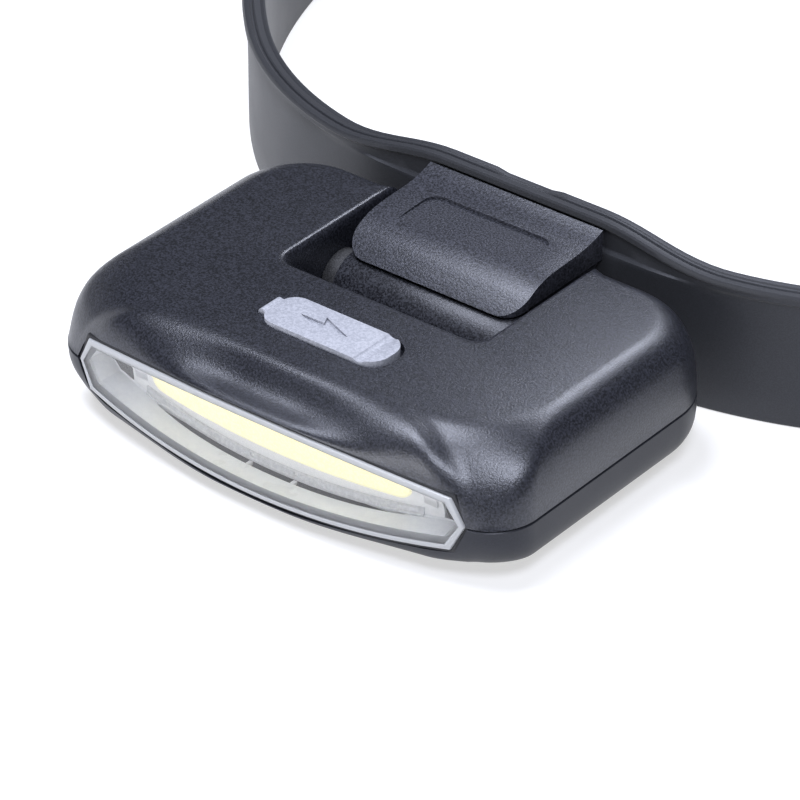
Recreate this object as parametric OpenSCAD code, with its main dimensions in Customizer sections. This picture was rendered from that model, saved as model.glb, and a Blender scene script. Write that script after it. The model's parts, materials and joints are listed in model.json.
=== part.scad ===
// Rechargeable headlamp: a flat lamp with one long light source, which tilts on a bracket
// that is trapped in a silicone headband.
// Frame: +Z up with the lamp lying level, the light shines along -Y, and X is across.
// Origin: the middle of the band's flat inner face, at the height of the casing's parting line.

/* [Lamp body] */
// Width of the casing
body_w = 66; // [62:1:72]
// Depth of the casing from its rear face to the front corners
body_depth = 42.5; // [42.5:0.1:44]
// Height of the casing above the parting line
body_top = 9; // [9:0.1:9.6]
// Depth of the casing below the parting line
body_bottom = 6.5; // [6.5:0.1:7.2]
// Wall thickness of the casing
wall = 1.7; // [1.4:0.1:1.8]
// Radius of the bowed front face, seen from above
bow_r = 130; // [120:5:160]
// Clear gap between the casing and the band
band_gap = 2.8; // [2.6:0.1:3.4]

/* [Lens] */
// Half width of the lens at its end points
lens_half = 27.8; // [26:0.1:28]
// Height of the lens above the parting line, at its middle
lens_top = 5.1; // [4.8:0.1:5.2]
// Depth of the lens below the parting line, at its middle
lens_bottom = 5.6; // [5:0.1:5.6]
// Thickness of the lens
lens_t = 1.2; // [1:0.1:1.4]

/* [Tilt hinge] */
// Radius of the hinge pin
pin_r = 1.25; // [1:0.05:1.3]
// Radius of the knuckle
knuckle_r = 4.5; // [4:0.1:4.5]
// Half width of the pocket in the casing
pocket_half = 14.4; // [14.2:0.1:15]

/* [Charging port cover] */
// Length of the cover
cover_l = 16.9; // [16:0.1:17.4]
// Width of the cover
cover_w = 6.4; // [6:0.1:7]

/* [Headband] */
// Width of the band
band_w = 18; // [16:0.5:20]
// Thickness of the band at its rims and at the bracket
band_t = 3; // [3:0.1:3.1]
// Thickness of the band between its rims
web_t = 2.4; // [1.8:0.1:2.6]
// Radii of the band's bends, from the bracket to the back of the head
bend_r = [45, 80, 150, 37];
// Headings at which those bends begin and end
bend_h = [0, 43, 90, 118, 180];

/* [Hidden] */
$fn = 48;
over = 0.5;

// Casing
side_x = body_w / 2;
rear_y = -(band_t + band_gap);
front_y = rear_y - body_depth - 3;
bow_cy = front_y + bow_r;
front_r = 6;
rear_r = 9.5;
top_r = 6;
bottom_r = 5;
lip_r = 3.2;
bow_over = 0.7;
corner_a = asin((side_x - front_r) / (bow_r - front_r));
front_cy = bow_cy - (bow_r - front_r) * cos(corner_a);
brow_l = 9;
brow_h = 3.6;
brow_y = front_y + brow_l - bow_over;
big = 80;

// Lens and what lies behind it
lens_corner = lens_half - 1.7;
top_sag = 1.75;
bottom_sag = 2.25;
lens_gap = 0.4;
seal_front = 0.3;
seal_back = 1.5;
opening_y = front_y + 7.2;
board_d = 4.9;
board_t = 1;
board_half = 22.5;
board_low = -4.2;
board_high = 3.7;
strip_l = 37;
strip_h = 4.6;
strip_z = 0.4;
strip_t = 0.5;
sink_t = 0.8;
slit_d = board_d - 0.6;
slit_w = 0.45;

// Tilt hinge
hinge_y = -17.8;
hinge_z = 1.5;
pocket_y = hinge_y - 10.3;
pocket_r = 1.8;
pocket_floor = -3.8;
knuckle_half = 12.3;
pin_half = 17.8;
boss_l = 2.3;
running = 0.05;

// Fasteners
screw_r = 0.95;
screw_head_r = 1.8;
screw_head_h = 1.3;
post_r = 2.3;
seal_in = 0.7;
seal_out = 1.1;
seal_h = 0.35;
screw_seat = -4.4;
screw_end = 4;
front_screw = [side_x - 6.5, rear_y - 35.7];
rear_screw = [pocket_half + 5.4, rear_y - 4.4];

// Main board, port, switch and button share one centre
port_y = -37.2;
pcb_bottom = -1.6;
pcb_t = 1;
pcb_top = pcb_bottom + pcb_t;
cover_x = 0.6;
cover_top = 0.45;
cover_seat = 1;
cover_r = 2.2;
cover_play = 0.2;
bead_x = cover_x - cover_l / 2 - 0.55;
bead_z = body_top - 0.1;
bead_r = 0.6;
bead_half = 1.7;
button_r = 5;

// Leads: radius, and the routes of the right-hand ones
lead_r = 0.45;
cell_lead = [[23, -37.2, 0.6], [22.6, -38.2, 0.8], [20.6, -39, 1], [17.6, -38.8, 0.9],
    [15.7, -37.6, 0.4]];
return_lead = [[23, -37.2, -0.7], [22.6, -38.4, -0.4], [20.6, -39.8, 0.2], [17.6, -40, 0.5],
    [15.7, -39.1, 0.4]];
led_lead = [[12, -43.7, -3], [12.5, -42.7, -3], [13.4, -41.8, -2.9], [14.4, -41, -2.6],
    [14.8, -40.2, -2.1]];

// Bracket
arm_half = 12;
cover_half = 12.6;
arm_top = 6.95;
plate_y = -2;
plate_t = 1;
bracket_screw = [7.5, -9.5];

// Band
flat_half = 19;
band_low = -8.4;
band_high = band_low + band_w;
band_mid = (band_low + band_high) / 2;
rim_h = 1.3;
tail = 22;
lap = band_t + 0.2;
peg_pitch = 8;
peg_r = 1.9;
hump_h = 2.3;
hump_flat = 12;
hump_end = 28;

// Points along an arc, by angle
function arc(c, r, a0, a1, n, first = 0, drop = 0) =
    [for (k = [first:n - drop]) let (a = a0 + (a1 - a0) * k / n) c + r * [cos(a), sin(a)]];

function reverse(p) = [for (k = [len(p) - 1:-1:0]) p[k]];
function mirrored(p) = [for (q = p) [-q[0], q[1]]];

// Rectangle with round corners
function round_rect(w, h, r, n = 6) = concat(
    arc([w / 2 - r, h / 2 - r], r, 0, 90, n),
    arc([r - w / 2, h / 2 - r], r, 90, 180, n),
    arc([r - w / 2, r - h / 2], r, 180, 270, n),
    arc([w / 2 - r, r - h / 2], r, 270, 360, n));

// Casing seen from above, moved inward by i; the pocket in its rear is optional
function casing_plan(i, pocket) = concat(
    arc([0, bow_cy], bow_r - i, 270 - corner_a, 270 + corner_a, 16),
    arc([side_x - front_r, front_cy], front_r - i, 270 + corner_a, 360, 7, 1),
    arc([side_x - rear_r, rear_y - rear_r], rear_r - i, 0, 90, 9),
    pocket ? pocket_edge(i) : [],
    arc([rear_r - side_x, rear_y - rear_r], rear_r - i, 90, 180, 9),
    arc([front_r - side_x, front_cy], front_r - i, 180, 270 - corner_a, 7, 0, 1));

function pocket_edge(i) = concat(
    [[pocket_half + i, rear_y - i]],
    arc([pocket_half - pocket_r, pocket_y + pocket_r], pocket_r + i, 0, -90, 5),
    arc([pocket_r - pocket_half, pocket_y + pocket_r], pocket_r + i, -90, -180, 5),
    [[-pocket_half - i, rear_y - i]]);

// Casing seen from the front
function casing_front(i) = concat(
    arc([side_x - top_r, body_top - top_r], top_r - i, 0, 90, 8),
    arc([top_r - side_x, body_top - top_r], top_r - i, 90, 180, 8),
    arc([bottom_r - side_x, bottom_r - body_bottom], bottom_r - i, 180, 270, 6),
    arc([side_x - bottom_r, bottom_r - body_bottom], bottom_r - i, 270, 360, 6));

// Casing seen from the side, with the sloping brow above the lens
function casing_side(i) = concat(
    arc([rear_y - top_r, body_top - top_r], top_r - i, 0, 90, 8),
    [for (a = [0:10:90])
        [brow_y - (brow_l - i) * sin(a), body_top - brow_h + (brow_h - i) * cos(a)]],
    arc([front_y - bow_over + lip_r, lip_r - body_bottom], lip_r - i, 180, 270, 5),
    arc([rear_y - bottom_r, bottom_r - body_bottom], bottom_r - i, 270, 360, 6));

// Outline of the lens seen from the front, grown by d
function lens_outline(d, n = 10) = concat(
    [for (k = [-n:n]) [(lens_corner + d) * k / n, lens_top + d - top_sag * pow(k / n, 2)]],
    [[lens_half + d, 0]],
    [for (k = [n:-1:-n]) [(lens_corner + d) * k / n, bottom_sag * pow(k / n, 2) - lens_bottom - d]],
    [[-lens_half - d, 0]]);

// Extrusions along X of a side view, and along Y of a front view
module along_x(x0, x1) {
    translate([x0, 0, 0]) rotate([90, 0, 90]) linear_extrude(x1 - x0) children();
}
module along_y(y0, y1) {
    translate([0, y1, 0]) rotate([90, 0, 0]) linear_extrude(y1 - y0) children();
}
module along_z(z0, z1) {
    translate([0, 0, z0]) linear_extrude(z1 - z0) children();
}
module x_rod(r, x0, x1, y, z) {
    translate([x0, y, z]) rotate([0, 90, 0]) cylinder(r = r, h = x1 - x0);
}
module y_rod(r, x, y0, y1, z) {
    translate([x, y1, z]) rotate([90, 0, 0]) cylinder(r = r, h = y1 - y0);
}
module z_rod(r, x, y, z0, z1) {
    translate([x, y, z0]) cylinder(r = r, h = z1 - z0);
}
module block(x0, x1, y0, y1, z0, z1) {
    translate([x0, y0, z0]) cube([x1 - x0, y1 - y0, z1 - z0]);
}
module both_sides() {
    children();
    mirror([1, 0, 0]) children();
}

// Closed form of the casing, moved inward by i
module casing_form(i, pocket = true) {
    intersection() {
        along_z(-big / 2, big / 2) polygon(casing_plan(i, pocket));
        along_y(-big, 0) polygon(casing_front(i));
        along_x(-big / 2, big / 2) polygon(casing_side(i));
    }
}

module pocket_space() {
    along_z(pocket_floor, big / 2) polygon(concat(
        [[pocket_half, over]],
        arc([pocket_half - pocket_r, pocket_y + pocket_r], pocket_r, 0, -90, 5),
        arc([pocket_r - pocket_half, pocket_y + pocket_r], pocket_r, -90, -180, 5),
        [[-pocket_half, over]]));
}

module lens_opening() {
    along_y(front_y - over, opening_y) polygon(lens_outline(lens_gap));
}

module gasket_ring(inner, outer, z0, z1) {
    difference() {
        along_z(z0, z1) polygon(casing_plan(inner, true));
        along_z(z0 - over, z1 + over) polygon(casing_plan(outer, true));
        block(-lens_half - 2, lens_half + 2, front_y - 1, opening_y, z0 - over, z1 + over);
        x_rod(pin_r + 0.4, -big / 2, big / 2, hinge_y, hinge_z);
    }
}

module at_screws() {
    both_sides() {
        translate(front_screw) children();
        translate(rear_screw) children();
    }
}

module upper_shell() color([0.26, 0.27, 0.29]) {
    difference() {
        intersection() {
            difference() {
                casing_form(0, false);
                pocket_space();
            }
            block(-big / 2, big / 2, -big, 0, 0, body_top + over);
        }
        difference() {
            casing_form(wall);
            at_screws() z_rod(post_r, 0, 0, -body_bottom, body_top);
            both_sides()
                x_rod(pin_r + 1.6, pocket_half, pocket_half + wall + boss_l, hinge_y, hinge_z);
        }
        lens_opening();
        gasket_ring(seal_in - running, seal_out + running, -over, seal_h + running);
        at_screws() z_rod(screw_r + running, 0, 0, -over, screw_end + 0.4);
        both_sides() x_rod(pin_r + running, pocket_half - over, pin_half + running, hinge_y, hinge_z);
        cover_recess();
    }
}

module cover_recess() {
    side = bead_half + 0.1;
    translate([cover_x, port_y]) along_z(body_top - cover_seat, body_top + over)
        polygon(round_rect(cover_l + 2 * cover_play, cover_w + 2 * cover_play, cover_r + cover_play));
    translate([0, port_y]) along_z(0, body_top + over) polygon(round_rect(10.4, 4.6, 2));
    y_rod(bead_r + 0.1, bead_x, port_y - side, port_y + side, bead_z);
    block(bead_x, bead_x + 1, port_y - side, port_y + side, bead_z - 0.5, body_top + over);
}

module lower_shell() color([0.2, 0.2, 0.22]) {
    difference() {
        intersection() {
            difference() {
                casing_form(0, false);
                pocket_space();
            }
            block(-big / 2, big / 2, -big, 0, -body_bottom - over, 0);
        }
        difference() {
            casing_form(wall);
            at_screws() z_rod(post_r, 0, 0, -body_bottom, body_top);
        }
        lens_opening();
        gasket_ring(seal_in - running, seal_out + running, -seal_h - running, over);
        at_screws() {
            z_rod(screw_r + 0.2, 0, 0, -body_bottom - over, over);
            z_rod(screw_head_r + 0.2, 0, 0, -body_bottom - over, screw_seat);
        }
        z_rod(button_r + 0.15, 0, port_y, -body_bottom - over, 0);
        z_rod(button_r + 2, 0, port_y, -body_bottom - over, -body_bottom + 0.5);
        z_rod(1, 9.6, port_y, -body_bottom - over, 0);
    }
}

// Slice that follows the bowed front face, between two depths behind it
module bowed(d0, d1) {
    difference() {
        translate([0, bow_cy, -big / 2]) cylinder(r = bow_r - d0, h = big, $fn = 200);
        translate([0, bow_cy, -big]) cylinder(r = bow_r - d1, h = 2 * big, $fn = 200);
    }
}

module lens() color([0.85, 0.88, 0.92, 0.35]) {
    intersection() {
        along_y(front_y - over, opening_y) polygon(lens_outline(0));
        bowed(0, lens_t);
    }
}

module lens_gasket() color([0.05, 0.05, 0.05]) {
    intersection() {
        difference() {
            along_y(front_y - over, opening_y) polygon(lens_outline(lens_gap));
            along_y(front_y - 1, opening_y + over) polygon(lens_outline(0));
        }
        bowed(seal_front, seal_back);
    }
}

// Open tray between the lens and the board, with a slit in its floor that leaves two snap tabs
module reflector() color([0.75, 0.76, 0.78]) {
    difference() {
        intersection() {
            difference() {
                along_y(front_y - over, opening_y) polygon(lens_outline(0));
                along_y(front_y - 1, opening_y + over) polygon(lens_outline(-0.8));
            }
            bowed(lens_t, board_d);
        }
        intersection() {
            bowed(slit_d, slit_d + slit_w);
            union() {
                both_sides() block(4, 15.4, front_y, opening_y, -big, board_low + 1);
                block(-2.4, 2.4, front_y, opening_y, -big, board_low + 1);
            }
        }
    }
}

module led_board() color([0.95, 0.95, 0.93]) {
    intersection() {
        bowed(board_d, board_d + board_t);
        block(-board_half, board_half, front_y, 0, board_low, board_high);
    }
}

module led_strip() color([1, 0.95, 0.72]) {
    intersection() {
        bowed(board_d - strip_t, board_d);
        along_y(front_y, 0) translate([0, strip_z]) polygon(round_rect(strip_l, strip_h, 1.5));
    }
}

module heat_sink() color([0.7, 0.71, 0.73]) {
    intersection() {
        bowed(board_d + board_t, board_d + board_t + sink_t);
        block(-22, 22, front_y, 0, board_low, board_high + 0.6);
    }
}

module case_gasket() color([0.1, 0.1, 0.1]) gasket_ring(seal_in, seal_out, -seal_h, seal_h);

module case_screws() color([0.55, 0.55, 0.57]) {
    at_screws() {
        z_rod(screw_head_r, 0, 0, screw_seat - screw_head_h, screw_seat);
        z_rod(screw_r, 0, 0, screw_seat - 0.1, screw_end);
    }
}

module main_board() color([0.1, 0.35, 0.2]) {
    block(-16, 16, port_y - 6, port_y + 6.6, pcb_bottom, pcb_top);
}

module board_chips() color([0.12, 0.12, 0.13]) {
    block(8, 12, port_y - 3, port_y + 1, pcb_top, pcb_top + 1);
    block(-12, -9, port_y - 4, port_y - 1, pcb_top, pcb_top + 0.9);
    block(-12.2, -7.6, port_y + 1.4, port_y + 6, pcb_top, pcb_top + 2.2);
    block(6.4, 8, port_y + 3, port_y + 4.2, pcb_top, pcb_top + 0.7);
}

module usb_socket() color([0.75, 0.76, 0.78]) {
    translate([0, port_y]) {
        difference() {
            along_z(pcb_top, body_top - wall - 0.3) polygon(round_rect(9, 3.2, 1.5));
            along_z(pcb_top + 0.6, body_top) polygon(round_rect(8.4, 2.6, 1.25));
        }
        block(-3.35, 3.35, -0.35, 0.35, pcb_top + 0.5, pcb_top + 5.4);
    }
}

module tact_switch() color([0.2, 0.2, 0.22]) {
    block(-2.2, 2.2, port_y - 2.2, port_y + 2.2, pcb_bottom - 1.4, pcb_bottom);
    z_rod(0.9, 0, port_y, pcb_bottom - 2, pcb_bottom - 1.3);
}

module charge_light() color([0.8, 0.9, 0.8]) {
    z_rod(0.9, 9.6, port_y, -body_bottom, -2.6);
    block(8.6, 10.6, port_y - 0.8, port_y + 0.8, -2.6, pcb_bottom);
}

module battery_cells() color([0.7, 0.72, 0.76]) {
    both_sides() block(19.2, 29.4, -37, -13.4, -4.2, 2.2);
}

module battery_pads() color([0.15, 0.15, 0.16]) {
    both_sides() block(19.6, 29, -36, -14.4, 2.2, 3.2);
}

// Round wire along a route
function unit(v) = v / norm(v);
function heading(p, k) = unit(p[min(k + 1, len(p) - 1)] - p[max(k - 1, 0)]);
function wire_ring(p, k, r) =
    let (t = heading(p, k), u = unit(cross(t, [0.3, 0.2, 1])), v = cross(t, u))
    [for (a = [0:45:315]) p[k] + r * (cos(a) * u + sin(a) * v)];

module wire(p, r) {
    n = len(p);
    rings = [for (k = [0:n - 1]) each wire_ring(p, k, r)];
    sides = [for (k = [0:n - 2], j = [0:7]) let (a = 8 * k + j, b = 8 * k + (j + 1) % 8)
        each [[a, b, b + 8], [a, b + 8, a + 8]]];
    polyhedron(rings, concat(sides, [reverse([for (j = [0:7]) j]), [for (j = [0:7]) 8 * n - 8 + j]]));
}

module battery_leads() color([0.75, 0.1, 0.1]) {
    both_sides() {
        wire(cell_lead, lead_r);
        wire(return_lead, lead_r);
    }
}

module battery_plug() color([0.93, 0.92, 0.88]) {
    both_sides() block(12.6, 15.5, port_y - 3, port_y + 2, pcb_top, pcb_top + 1.6);
}

module led_leads() color([0.1, 0.1, 0.1]) {
    both_sides() wire(led_lead, lead_r);
}

module usb_cover() color([0.72, 0.74, 0.78]) {
    translate([cover_x, port_y]) along_z(body_top - cover_seat + 0.05, body_top + cover_top)
        polygon(round_rect(cover_l, cover_w, cover_r));
    translate([0, port_y]) along_z(6.5, body_top) polygon(round_rect(7.4, 2, 0.9));
    y_rod(bead_r, bead_x, port_y - bead_half, port_y + bead_half, bead_z);
    block(bead_x, bead_x + 1, port_y - bead_half, port_y + bead_half, bead_z - 0.4, bead_z + 0.4);
}

module power_button() color([0.3, 0.3, 0.32]) {
    z_rod(button_r, 0, port_y, -body_bottom - 0.5, wall - body_bottom);
    z_rod(button_r + 0.8, 0, port_y, wall - body_bottom, wall - body_bottom + 0.45);
}

module button_ring() color([0.5, 0.51, 0.53]) {
    difference() {
        z_rod(button_r + 1.95, 0, port_y, -body_bottom - 0.3, -body_bottom + 0.5);
        z_rod(button_r + 0.15, 0, port_y, -body_bottom - over, over);
    }
}

module hinge_pin() color([0.6, 0.6, 0.62]) x_rod(pin_r, -pin_half, pin_half, hinge_y, hinge_z);

module friction_washers() color([0.15, 0.15, 0.16]) {
    both_sides() difference() {
        x_rod(3.6, knuckle_half + running, pocket_half - running, hinge_y, hinge_z);
        x_rod(pin_r + running, 0, big, hinge_y, hinge_z);
    }
}

module bracket_arm() color([0.16, 0.16, 0.17]) {
    difference() {
        union() {
            x_rod(knuckle_r, -knuckle_half, knuckle_half, hinge_y, hinge_z);
            along_x(-arm_half, arm_half) polygon([[-17, -2], [-14.5, -3.3], [-band_t, -3.3],
                [-band_t, arm_top], [-14.5, arm_top], [-17, 5]]);
            block(-9.8, 9.8, -band_t - 0.2, plate_y + 0.1, -2.8, 4.8);
            block(-15, 15, plate_y, plate_y + plate_t, -6, 7.4);
        }
        x_rod(pin_r + 0.02, -big, big, hinge_y, hinge_z);
        both_sides() translate(bracket_screw) {
            z_rod(screw_r + 0.15, 0, 0, -big, big);
            z_rod(screw_head_r + 0.15, 0, 0, -big, -2);
        }
    }
}

// Curved cover of the bracket: a nose over the knuckle, a flat, and a ramp up to the band
module bracket_cover() color([0.28, 0.28, 0.3]) {
    difference() {
        along_x(-cover_half, cover_half) polygon(concat(
            [[-band_t, arm_top + 0.05], [-band_t, 10.9], [-4, 10.5], [-5.2, 10.15], [-6.6, 9.95]],
            [for (a = [0:10:90]) [-13 - 6.6 * sin(a), 6.6 + 3.3 * cos(a)]],
            [[-19.3, 6.3], [-17, arm_top + 0.05]]));
        both_sides() translate(bracket_screw) z_rod(screw_r + running, 0, 0, 0, 9.1);
    }
}

module bracket_screws() color([0.55, 0.55, 0.57]) {
    both_sides() translate(bracket_screw) {
        z_rod(screw_head_r, 0, 0, -2 - screw_head_h, -2);
        z_rod(screw_r, 0, 0, -2.1, 9);
    }
}

// Path of the band's face at a distance out from its inner face: centre of each bend in turn
function bend_c(k) = k == 0 ? [flat_half, bend_r[0]]
    : bend_c(k - 1) + (bend_r[k - 1] - bend_r[k]) * [sin(bend_h[k]), -cos(bend_h[k])];
function bend(k, out, shift) = arc(bend_c(k) + shift, bend_r[k] + out,
    bend_h[k] - 90, bend_h[k + 1] - 90, 8, k == 0 || norm(shift) > 0 ? 0 : 1);
function half_band(out, step) = concat(bend(0, out, [0, 0]), bend(1, out, [0, 0]),
    bend(2, out, [0, 0]), bend(3, out, step * [cos(bend_h[3]), sin(bend_h[3])]));
back_y = bend_c(3)[1] + bend_r[3];
lap_step = lap / sin(bend_h[3]);
function band_path(out) = concat([[-tail, back_y + out]], reverse(half_band(out, 0)),
    mirrored(half_band(out, lap_step)), [[tail, back_y + lap + out]]);

module band_strip(t, z0, z1) {
    along_z(z0, z1) polygon(concat(band_path(0), reverse(band_path(t))));
}

module headband() color([0.2, 0.21, 0.23]) {
    difference() {
        union() {
            band_strip(web_t, band_low, band_high);
            band_strip(band_t, band_high - rim_h, band_high);
            band_strip(band_t, band_low, band_low + rim_h);
            intersection() {
                band_strip(band_t, band_low, band_high + hump_h);
                along_y(-big, big / 4) polygon(concat([[hump_end, band_low], [hump_end, band_high]],
                    [for (k = [0:8]) let (x = hump_end + (hump_flat - hump_end) * k / 8)
                        [x, band_high + hump_h * (1 - cos(180 * k / 8)) / 2]],
                    [for (k = [8:-1:0]) let (x = hump_end + (hump_flat - hump_end) * k / 8)
                        [-x, band_high + hump_h * (1 - cos(180 * k / 8)) / 2]],
                    [[-hump_end, band_low]]));
            }
        }
        block(-10, 10, -band_t - over, plate_y + 0.1, -3, 5);
        block(-15.2, 15.2, plate_y - 0.05, plate_y + plate_t + 0.05, -6.2, 7.6);
        for (k = [-2:2]) {
            y_rod(peg_r + 0.2, k * peg_pitch, back_y + lap - 0.1, back_y + 2 * lap, band_mid);
        }
        both_sides() y_rod(peg_r + 0.05, peg_pitch, back_y - over, back_y + lap - 0.05, band_mid);
    }
}

module band_pegs() color([0.12, 0.12, 0.13]) {
    outer_y = back_y + lap + web_t;
    both_sides() {
        y_rod(3.2, peg_pitch, back_y - 0.7, back_y, band_mid);
        y_rod(peg_r, peg_pitch, back_y - 0.1, outer_y + 0.2, band_mid);
        y_rod(3.3, peg_pitch, outer_y + 0.1, outer_y + 1, band_mid);
    }
}

upper_shell();
lower_shell();
lens();
lens_gasket();
reflector();
led_board();
led_strip();
heat_sink();
case_gasket();
case_screws();
main_board();
board_chips();
usb_socket();
tact_switch();
charge_light();
battery_cells();
battery_pads();
battery_leads();
battery_plug();
led_leads();
usb_cover();
power_button();
button_ring();
hinge_pin();
friction_washers();
bracket_arm();
bracket_cover();
bracket_screws();
headband();
band_pegs();
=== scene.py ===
import json
import math

import bmesh
import bpy
from mathutils import Matrix, Vector


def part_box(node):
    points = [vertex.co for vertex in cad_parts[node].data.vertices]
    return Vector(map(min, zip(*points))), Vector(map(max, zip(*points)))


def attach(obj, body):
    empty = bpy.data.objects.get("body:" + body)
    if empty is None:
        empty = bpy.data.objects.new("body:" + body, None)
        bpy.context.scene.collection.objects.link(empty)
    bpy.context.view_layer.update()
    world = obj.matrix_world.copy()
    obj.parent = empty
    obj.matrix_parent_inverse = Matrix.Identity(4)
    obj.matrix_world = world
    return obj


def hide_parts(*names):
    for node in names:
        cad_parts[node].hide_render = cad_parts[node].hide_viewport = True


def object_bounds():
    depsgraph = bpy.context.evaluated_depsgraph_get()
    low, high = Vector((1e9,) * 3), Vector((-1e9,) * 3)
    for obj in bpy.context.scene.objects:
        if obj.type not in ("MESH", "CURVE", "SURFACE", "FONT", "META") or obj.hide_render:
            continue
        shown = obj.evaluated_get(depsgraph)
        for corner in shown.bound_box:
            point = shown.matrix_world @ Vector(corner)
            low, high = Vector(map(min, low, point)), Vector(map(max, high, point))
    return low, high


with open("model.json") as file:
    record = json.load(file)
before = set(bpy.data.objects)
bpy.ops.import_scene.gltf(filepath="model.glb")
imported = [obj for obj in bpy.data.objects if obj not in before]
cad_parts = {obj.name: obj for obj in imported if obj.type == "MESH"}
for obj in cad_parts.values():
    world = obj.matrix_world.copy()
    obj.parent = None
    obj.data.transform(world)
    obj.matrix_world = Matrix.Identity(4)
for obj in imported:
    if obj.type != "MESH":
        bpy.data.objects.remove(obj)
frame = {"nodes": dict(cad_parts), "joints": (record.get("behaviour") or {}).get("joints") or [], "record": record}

cad_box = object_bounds()
MM = 0.001

# ---------------------------------------------------------------- sizes, in millimetres


def box_mm(node):
    """Lowest and highest corners of a CAD node, in millimetres."""
    low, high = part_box(node)
    return [v / MM for v in low], [v / MM for v in high]


case_low, case_high = box_mm("upper_shell")
under_low = box_mm("lower_shell")[0]
lens_low, lens_high = box_mm("lens")
board_low, board_high = box_mm("led_board")
strip_low, strip_high = box_mm("led_strip")
port_low, port_high = box_mm("usb_cover")
nose_low, nose_high = box_mm("bracket_cover")
band_low, band_high = box_mm("headband")
button_low, button_high = box_mm("power_button")
ring_low, ring_high = box_mm("button_ring")
strip_half = strip_high[0]
joints = {j["name"]: j for j in frame["joints"]}
tilt_y, tilt_z = [v / MM for v in joints["lamp_tilt"]["pos_m"][1:]]
hinge_x, _, hinge_z = [v / MM for v in joints["usb_cover_open"]["pos_m"]]

# Casing: its box, the radius of its bowed front, its corners seen from above, and its wall
SIDE = case_high[0]
TOP = case_high[2]
BOTTOM = under_low[2]
REAR = case_high[1]
FRONT = case_low[1]
BOW = 130.0
BOW_CENTRE = FRONT + BOW
FRONT_R, REAR_R = 6.2, 9.5
WALL = 1.7
# Gap between the two halves, and the groove that their edges leave
PARTING_GAP = 0.06
SEAM_INSET, SEAM_RISE = 0.16, 0.12

# Pocket that is open to the rear, in which the bracket's knuckle turns
POCKET_HALF = 14.4
POCKET_FRONT = tilt_y - 10.3
POCKET_FLOOR = -3.8
POCKET_R = 1.8

# Lens: its side corners, how far its edges sag at them, the gap around it, and what is behind it
LENS_HALF = lens_high[0]
LENS_CORNER = LENS_HALF - 1.7
SAG_HIGH, SAG_LOW = 1.75, 2.25
LENS_GAP = 0.38
LENS_THICK = 1.2
BOARD_DEPTH = board_low[1] - FRONT
OPENING_Y = FRONT + 7.2

# Screws of the casing and of the bracket, and the posts that hold the casing's screws
SCREWS = [(s * (SIDE - 6.5), REAR - 35.7) for s in (-1, 1)]
SCREWS += [(s * (POCKET_HALF + 5.4), REAR - 4.4) for s in (-1, 1)]
SCREW_SEAT_Z = -4.4
POST_R = 2.3
BRACKET_SCREWS = [(s * 7.5, -9.5) for s in (-1, 1)]

# Port cover, and the power button and the charge light that share its line across the casing
COVER_X0, COVER_X1 = hinge_x + 0.55, port_high[0]
COVER_Y0, COVER_Y1 = port_low[1], port_high[1]
PORT_Y = (COVER_Y0 + COVER_Y1) / 2
SEAT_Z = TOP - 1
KEY_HOLE_R, BEZEL_R = 5.15, 7.0
LIGHT_X = 9.6

# Headband: thickness at its rims and between them, height, free end, overlap and the holes at the back
BAND_T, WEB_T = 3.0, 2.4
LOW, HIGH = band_low[2], band_low[2] + 18
BAND_MIDDLE = (LOW + HIGH) / 2
HUMP = band_high[2] - HIGH
TAIL, LAP = 22.0, BAND_T + 0.2
PEG_PITCH = 8
# Bends from the bracket to the back of the head: radius, and heading at its start and end in degrees
BENDS = [(45, 0, 43), (80, 43, 90), (150, 90, 118), (37, 118, 180)]
FLAT_HALF = 19.0

# Points closer than this are one point, in metres
MERGE = 0.0005 * MM

# ---------------------------------------------------------------- mesh helpers


def make(name, verts, faces, body, materials=()):
    """Builds a piece from points in millimetres; it rides on a body."""
    mesh = bpy.data.meshes.new(name)
    mesh.from_pydata([[c * MM for c in v] for v in verts], [], faces)
    obj = bpy.data.objects.new(name, mesh)
    bpy.context.scene.collection.objects.link(obj)
    for material in materials:
        mesh.materials.append(material)
    if body:
        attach(obj, body)
    return obj


def loft(rings, cap=True):
    """Points and faces of a skin over closed rings of equal length, with or without its end faces."""
    count = len(rings[0])
    verts = [p for ring in rings for p in ring]
    faces = []
    for i in range(len(rings) - 1):
        for k in range(count):
            n = (k + 1) % count
            faces.append((i * count + k, i * count + n, (i + 1) * count + n, (i + 1) * count + k))
    if cap:
        faces.append(tuple(reversed(range(count))))
        faces.append(tuple((len(rings) - 1) * count + k for k in range(count)))
    return verts, faces


def tidy(obj, angle=32.0):
    """Merges double points, makes the normals agree and keeps only the real edges sharp."""
    bm = bmesh.new()
    bm.from_mesh(obj.data)
    bmesh.ops.remove_doubles(bm, verts=bm.verts, dist=MERGE)
    bmesh.ops.dissolve_degenerate(bm, edges=bm.edges, dist=MERGE)
    bmesh.ops.recalc_face_normals(bm, faces=bm.faces)
    for face in bm.faces:
        face.smooth = True
    for edge in bm.edges:
        if len(edge.link_faces) == 2:
            edge.smooth = edge.calc_face_angle(0) < math.radians(angle)
    bm.to_mesh(obj.data)
    bm.free()


def apply_modifiers(obj):
    """Replaces the object's mesh by its evaluated mesh."""
    view = bpy.context.evaluated_depsgraph_get()
    mesh = bpy.data.meshes.new_from_object(obj.evaluated_get(view))
    obj.modifiers.clear()
    obj.data = mesh


def cut(obj, cutters, operation="DIFFERENCE"):
    """Boolean with each cutter in turn; the cutters are removed afterwards."""
    for tool in cutters:
        tidy(tool)
        modifier = obj.modifiers.new("cut", "BOOLEAN")
        modifier.operation = operation
        modifier.solver = "EXACT"
        modifier.object = tool
        bpy.context.view_layer.update()
        apply_modifiers(obj)
        bpy.data.objects.remove(tool)


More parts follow.
